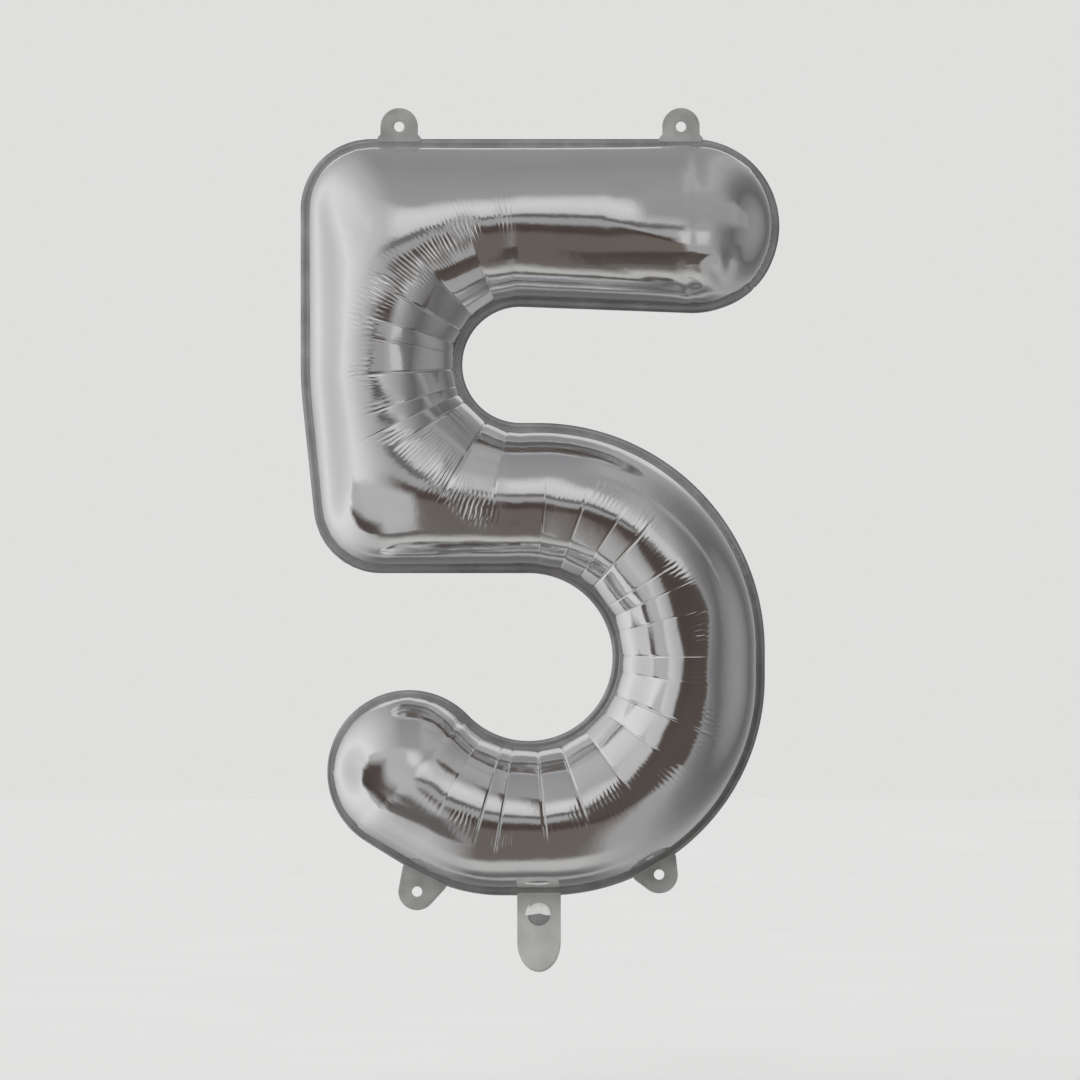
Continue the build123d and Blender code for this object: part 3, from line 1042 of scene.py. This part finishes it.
def tail():
    material = satin_film("tail_film", (0.38, 0.38, 0.365), (0.48, 0.48, 0.465), 0.1, (0.5, 0.62))
    # The plies' inner faces are metallised film, with the colour darkened to near black as painted shade for the
    # shadowed pocket seen through the inlet
    inside = satin_film("tail_inside_painted_shade_film", (0.07,) * 3, (0.24,) * 3, 0.9, (0.15, 0.3), 1)
    low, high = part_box("tail_back_ply")
    line = bend_line("tail_bend", "tail_back_ply")
    point, along, _ = line
    centre = centre_of(holes["inflation_inlet"], line)
    length = point[1] - low.z
    valve_end = point[1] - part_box("valve_back_film_in_tail")[0].z
    middle = ((low.x + high.x) / 2 - point[0]) * along[0]
    angles = np.linspace(0, pi, 40)
    tip = np.stack([TAIL_HALF_WIDTH * np.cos(angles), TAIL_TIP * np.sin(angles)], axis=1)
    corners = [(TAIL_HALF_WIDTH, -UNDER_BORDER), (-TAIL_HALF_WIDTH, -UNDER_BORDER)]
    edge = np.vstack([corners[:1], tip + (0, length - TAIL_TIP), corners[1:]]) + (middle, 0)

    def depth(x, y, side):
        past = np.clip((y - length + TAIL_TIP) / TAIL_TIP, 0, 1)
        from_side = TAIL_HALF_WIDTH * np.sqrt(1 - past**2) - np.abs(x - middle) - TAIL_SEAL
        puff = smooth(from_side / TAIL_PUFF_REACH[0]) * smooth((y + 0.001) / TAIL_PUFF_REACH[1])
        wave = TAIL_WAVE * np.sin(x * TAIL_WAVES[0] + y * TAIL_WAVES[1]) * smooth(y / 0.02)
        wave = wave + TAIL_FLICK * np.clip(y - valve_end, 0, None) ** 2
        return side * (OFF_PLANE + TAIL_PUFF * puff) + wave

    inlet = round_line(centre, INLET_R)
    for ply, hole in (("tail_front_ply", inlet), ("tail_back_ply", None)):
        # each ply's inner faces take the film with painted shade
        films = (material, inside)
        ply_piece(ply, line, edge, centre, hole, depth, films)
    # The valve's own film shows as a pale half disc in the upper half of the inlet
    half_disc = round_line(centre, INLET_R + FLAP_LAP, pi - FLAP_TILT, pi + 2 * FLAP_TILT, 40)
    lower_edge = np.array([[0.006, 0.0004], [0, -0.0006], [-0.006, 0.0009]])
    half_disc = np.vstack([half_disc, centre + lower_edge])
    flap_centre = (centre[0], centre[1] - 0.004)

    def flap_depth(x, y, side):
        return side * (TAIL_PUFF * FLAP_DEPTH) + FLAP_WAVE * np.sin(x * FLAP_WAVES + 1)

    films = (milky_film(),)
    flap = flat_film(
        "valve_mouth_flap", -1, line, half_disc, flap_centre, None, flap_depth, films, FLAP_FILM
    )
    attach(flap, "filling_tail")


def valve():
    """The valve's films keep their CAD shape, inside the balloon and between the tail's plies."""
    material = clear_film()
    for name, piece in frame["nodes"].items():
        if name.startswith("valve_"):
            piece.data.materials.clear()
            piece.data.materials.append(material)


# -------------------- the studio
FLOOR_DROP = 0.22  # from the tail's end down to the floor
CAMERA_LENS = 200
CAMERA_FILL = 0.80  # the balloon's height as a share of the picture's
PAPER = 0.74
BANDS = (  # (degrees up from the front, colour) of what the film mirrors
    (-180, (0.30, 0.30, 0.31)),
    (-125, (0.14, 0.14, 0.14)),
    (-118, (0.46, 0.46, 0.46)),
    (-110, (0.12, 0.12, 0.12)),
    (-102, (0.20, 0.20, 0.20)),
    (-94, (0.50, 0.50, 0.49)),
    (-80, (0.52, 0.52, 0.50)),
    (-72, (0.15, 0.135, 0.12)),
    (-24, (0.15, 0.13, 0.115)),
    (-18, (0.075, 0.055, 0.05)),
    (-9, (0.08, 0.06, 0.052)),
    (-6, (0.36, 0.36, 0.36)),
    (1.5, (0.38, 0.38, 0.38)),
    (4, (0.10, 0.09, 0.09)),
    (7, (0.11, 0.10, 0.10)),
    (10, (0.60, 0.60, 0.60)),
    (24, (0.70, 0.70, 0.70)),
    (32, (0.62, 0.62, 0.62)),
    (40, (0.34, 0.34, 0.345)),
    (90, (0.28, 0.28, 0.285)),
    (150, (0.31, 0.31, 0.315)),
)
SIDES = (  # (x of the direction, brightness, how much it covers the bands)
    (-1.0, 0.58, 1.0),
    (-0.88, 0.78, 1.0),
    (-0.60, 0.55, 1.0),
    (-0.36, 0.46, 0.7),
    (-0.16, 0.42, 0.0),
    (0.14, 0.34, 0.0),
    (0.32, 0.42, 0.85),
    (0.50, 0.36, 1.0),
    (0.70, 0.20, 1.0),
    (0.85, 0.14, 1.0),
    (1.0, 0.30, 1.0),
)


def studio_light():
    """The room that the film mirrors: bands of light and shade by height, and two sides."""
    world = bpy.data.worlds.new("studio")
    bpy.context.scene.world = world
    world.use_nodes = True
    tree = world.node_tree
    tree.nodes.clear()
    way = node(tree, "SeparateXYZ", {0: node(tree, "TexCoord").outputs["Generated"]}).outputs
    climb = maths(tree, "ARCTAN2", way["Z"], maths(tree, "MULTIPLY", way["Y"], -1))
    turn = node(tree, "MapRange", {"Value": climb, "From Min": -pi, "From Max": pi})
    stops = [(angle / 360 + 0.5, (*tint, 1)) for angle, tint in BANDS]
    bands = colour_ramp(tree, turn.outputs["Result"], stops)
    across = node(tree, "MapRange", {"Value": way["X"], "From Min": -1})
    stops = [(x / 2 + 0.5, (grey, grey, grey, cover)) for x, grey, cover in SIDES]
    sides = colour_ramp(tree, across.outputs["Result"], stops)
    # Inputs 6 and 7 and output 2 are the Mix node's colours
    mixed = {"Factor": sides.outputs["Alpha"], 6: bands.outputs["Color"], 7: sides.outputs["Color"]}
    both = node(tree, "Mix", mixed, data_type="RGBA")
    room = node(tree, "Background", {"Color": both.outputs[2]}).outputs[0]
    backdrop = node(tree, "Background", {"Color": (PAPER, PAPER, PAPER * 0.99, 1)}).outputs[0]
    seen = node(tree, "LightPath").outputs["Is Camera Ray"]
    picked = node(tree, "MixShader", {0: seen, 1: room, 2: backdrop}).outputs[0]
    node(tree, "OutputWorld", {"Surface": picked})


def sun():
    """Soft light from the upper left front, for the floor and the satin films."""
    data = bpy.data.lights.new("soft_sun", "SUN")
    data.energy = 2.35
    data.angle = radians(50)
    lamp = new_object("soft_sun", data)
    lamp.rotation_euler = (radians(38), radians(-18), 0)
    lamp.visible_glossy = False


def floor(level):
    disc = round_line((0, 0), 9, count=64)
    vertices = [(x, y, level) for x, y in disc]
    piece = mesh_piece("floor", vertices, [tuple(range(len(vertices)))], (paper(),))
    piece.visible_glossy = False


CARDS = (  # (name, left, right, bottom, top, y, dark, light, softness across and upward)
    ("grey", 0.09, 1.60, -0.09, 0.14, -0.25, (0.28,) * 3, (0.34,) * 3, (0.015, 0.3)),
    (
        "brown", 0.01, 0.35, -0.74, -0.38, -0.32,
        (0.065, 0.05, 0.042), (0.10, 0.085, 0.075), (0.08, 0.08),
    ),
    (
        "low", -0.62, -0.24, -0.80, -0.53, -0.21,
        (0.05, 0.035, 0.03), (0.10, 0.085, 0.08), (0.2, 0.2),
    ),
    (
        "low_streak", -0.36, -0.10, -0.88, -0.71, -0.211,
        (0.09, 0.08, 0.075), (0.16, 0.15, 0.15), (0.2, 0.2),
    ),
    ("right_light", 0.20, 0.72, -0.46, -0.04, -1.0, (0.52,) * 3, (0.62,) * 3, (0.25, 0.25)),
    ("low_light", -0.75, -0.125, -1.0, -0.40, -0.30, (0.40,) * 3, (0.50,) * 3, (0.06, 0.06)),
    ("back_light", -0.9, 0.9, 0.12, 0.75, 1.0, (0.60,) * 3, (0.72,) * 3, (0.15, 0.15)),
    (
        "back_dark", -0.7, 0.8, -1.0, -0.30, 1.0,
        (0.08, 0.07, 0.065), (0.15, 0.135, 0.125), (0.15, 0.15),
    ),
)


def cards():
    """Glowing cards in front of the figure and behind it, which are seen only in the film."""
    for name, left, right, bottom, top, y, *tones in CARDS:
        corners = [(left, y, bottom), (right, y, bottom), (right, y, top), (left, y, top)]
        material = card_material(f"{name}_card", *tones)
        piece = mesh_piece(f"{name}_card", corners, [(0, 1, 2, 3)], (material,))
        piece.visible_camera = False
        piece.visible_diffuse = False
        piece.visible_shadow = False


def look_from_the_front():
    """A long lens square to the figure's face."""
    data = bpy.data.cameras.new("camera")
    data.lens = CAMERA_LENS
    data.clip_end = 100
    camera = bpy.context.scene.camera = new_object("camera", data)
    low, high = (Vector(corner) for corner in cad_box)
    middle = (low + high) / 2
    half_height = (high.z - low.z) / CAMERA_FILL / 2
    camera.location = (middle.x, -half_height * 2 * CAMERA_LENS / data.sensor_width, middle.z)
    camera.rotation_euler = (pi / 2, 0, 0)


balloon()
tabs()
tail()
valve()
studio_light()
sun()
floor_level = cad_box[0][2] - FLOOR_DROP
floor(floor_level)
cards()
look_from_the_front()
bpy.context.scene.view_settings.view_transform = "Standard"
